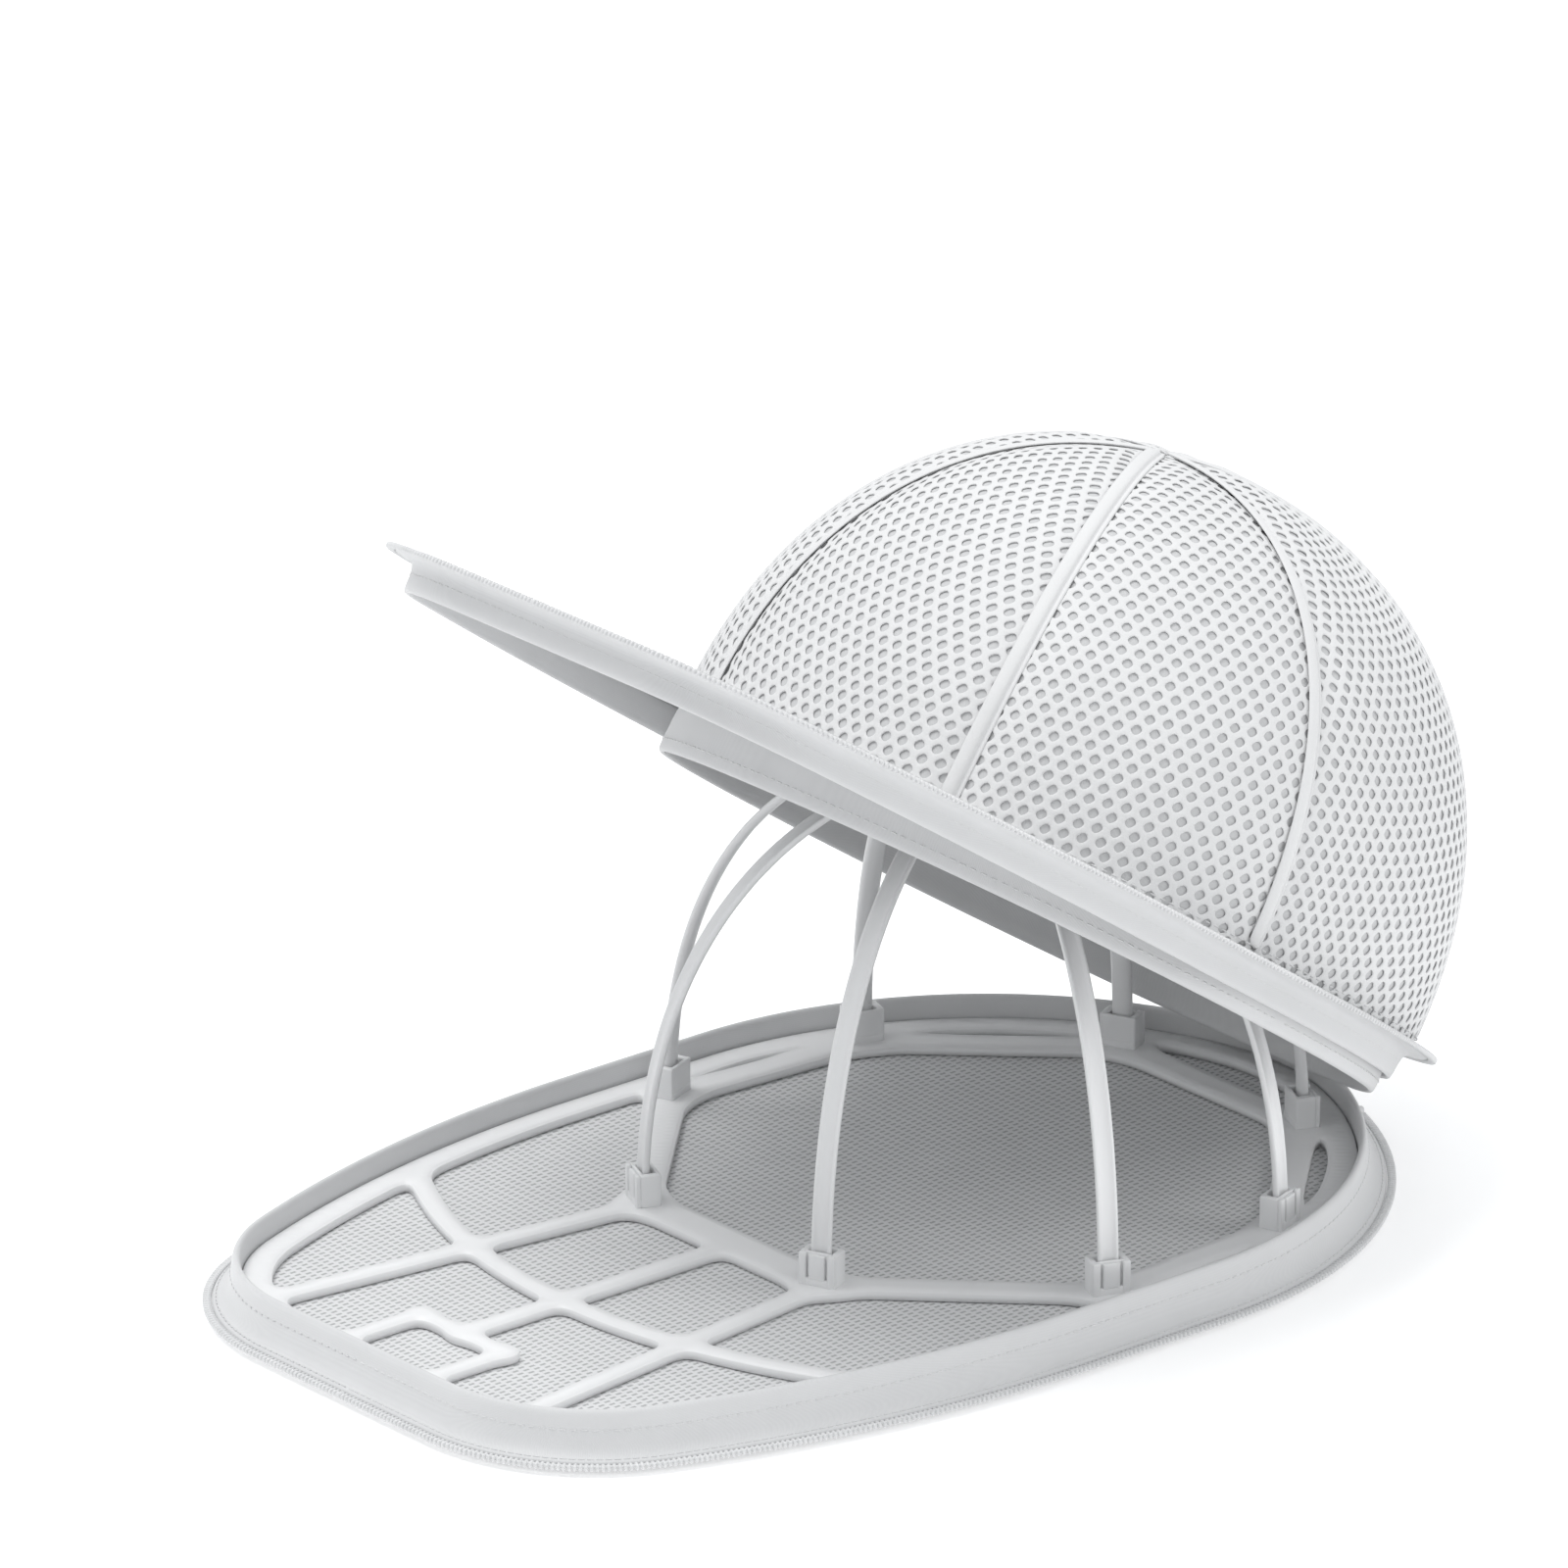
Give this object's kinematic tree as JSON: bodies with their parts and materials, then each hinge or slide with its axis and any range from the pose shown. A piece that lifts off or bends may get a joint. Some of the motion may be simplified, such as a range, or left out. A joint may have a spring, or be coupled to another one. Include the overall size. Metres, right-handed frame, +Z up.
{
  "type": "cap washing bag with inner frame",
  "caption": "White mesh washing bag for a peaked cap: zip-round rim, moulded floor frame, snap-in rib cage and a hinged lid with a domed panelled crown, standing open.",
  "frame": {"origin": "on the table plane, under the middle of the whole bag with its lid open as at rest", "axes": "+X across the bag, +Y along it from the brim end to the hinge end, +Z up"},
  "size_m": [0.213, 0.3322, 0.1935],
  "materials": {
    "net_fabric": "open spacer net of knitted polyester, white",
    "floor_net": "close-knit polyester net, white",
    "rim_fabric": "foam-backed woven band, white, soft matt",
    "tape_fabric": "woven polyester tape, white",
    "frame_resin": "injection-moulded polypropylene, white, satin",
    "zip_resin": "nylon coil and moulded resin, white, satin"
  },
  "bodies": {
    "base": {"base_wall": "rim_fabric", "floor_mesh": "floor_net", "floor_binding": "rim_fabric", "base_zip_tape": "tape_fabric", "base_zip_chain": "zip_resin", "base_stop_right": "zip_resin", "base_stop_left": "zip_resin", "hinge_strip_lower": "tape_fabric", "inner_frame": "frame_resin", "cage_hub": "frame_resin", "cage_rib_1": "frame_resin", "cage_rib_2": "frame_resin", "cage_rib_3": "frame_resin", "cage_rib_4": "frame_resin", "cage_rib_5": "frame_resin", "cage_rib_6": "frame_resin", "cage_rib_7": "frame_resin", "cage_rib_8": "frame_resin"},
    "slider": {"zip_slider": "zip_resin"},
    "pull": {"pull_tab": "zip_resin"},
    "lid": {"lid_band": "rim_fabric", "brim_cover": "net_fabric", "crown_collar": "rim_fabric", "lid_zip_tape": "tape_fabric", "lid_zip_chain": "zip_resin", "lid_stop_right": "zip_resin", "lid_stop_left": "zip_resin", "hinge_strip_upper": "tape_fabric", "crown_panel_1": "net_fabric", "crown_panel_2": "net_fabric", "crown_panel_3": "net_fabric", "crown_panel_4": "net_fabric", "crown_panel_5": "net_fabric", "crown_panel_6": "net_fabric", "seam_tape_1": "tape_fabric", "seam_tape_2": "tape_fabric", "seam_tape_3": "tape_fabric", "seam_tape_4": "tape_fabric", "seam_tape_5": "tape_fabric", "seam_tape_6": "tape_fabric"}
  },
  "joints": [
    {"name": "lid_hinge", "type": "hinge", "parent": "base", "child": "lid", "pos_m": [0, 0.1375, 0.0074], "axis": [-1, 0, 0], "range_deg": [-34.5, 36]},
    {"name": "zip_slide", "type": "slide", "parent": "base", "child": "slider", "axis": [0, -1, 0], "range_m": [0, 0.044]},
    {"name": "pull_pivot", "type": "hinge", "parent": "slider", "child": "pull", "pos_m": [-0.1046, 0.0255, 0.0068], "axis": [1, 0, 0], "range_deg": [0, 170]}
  ]
}
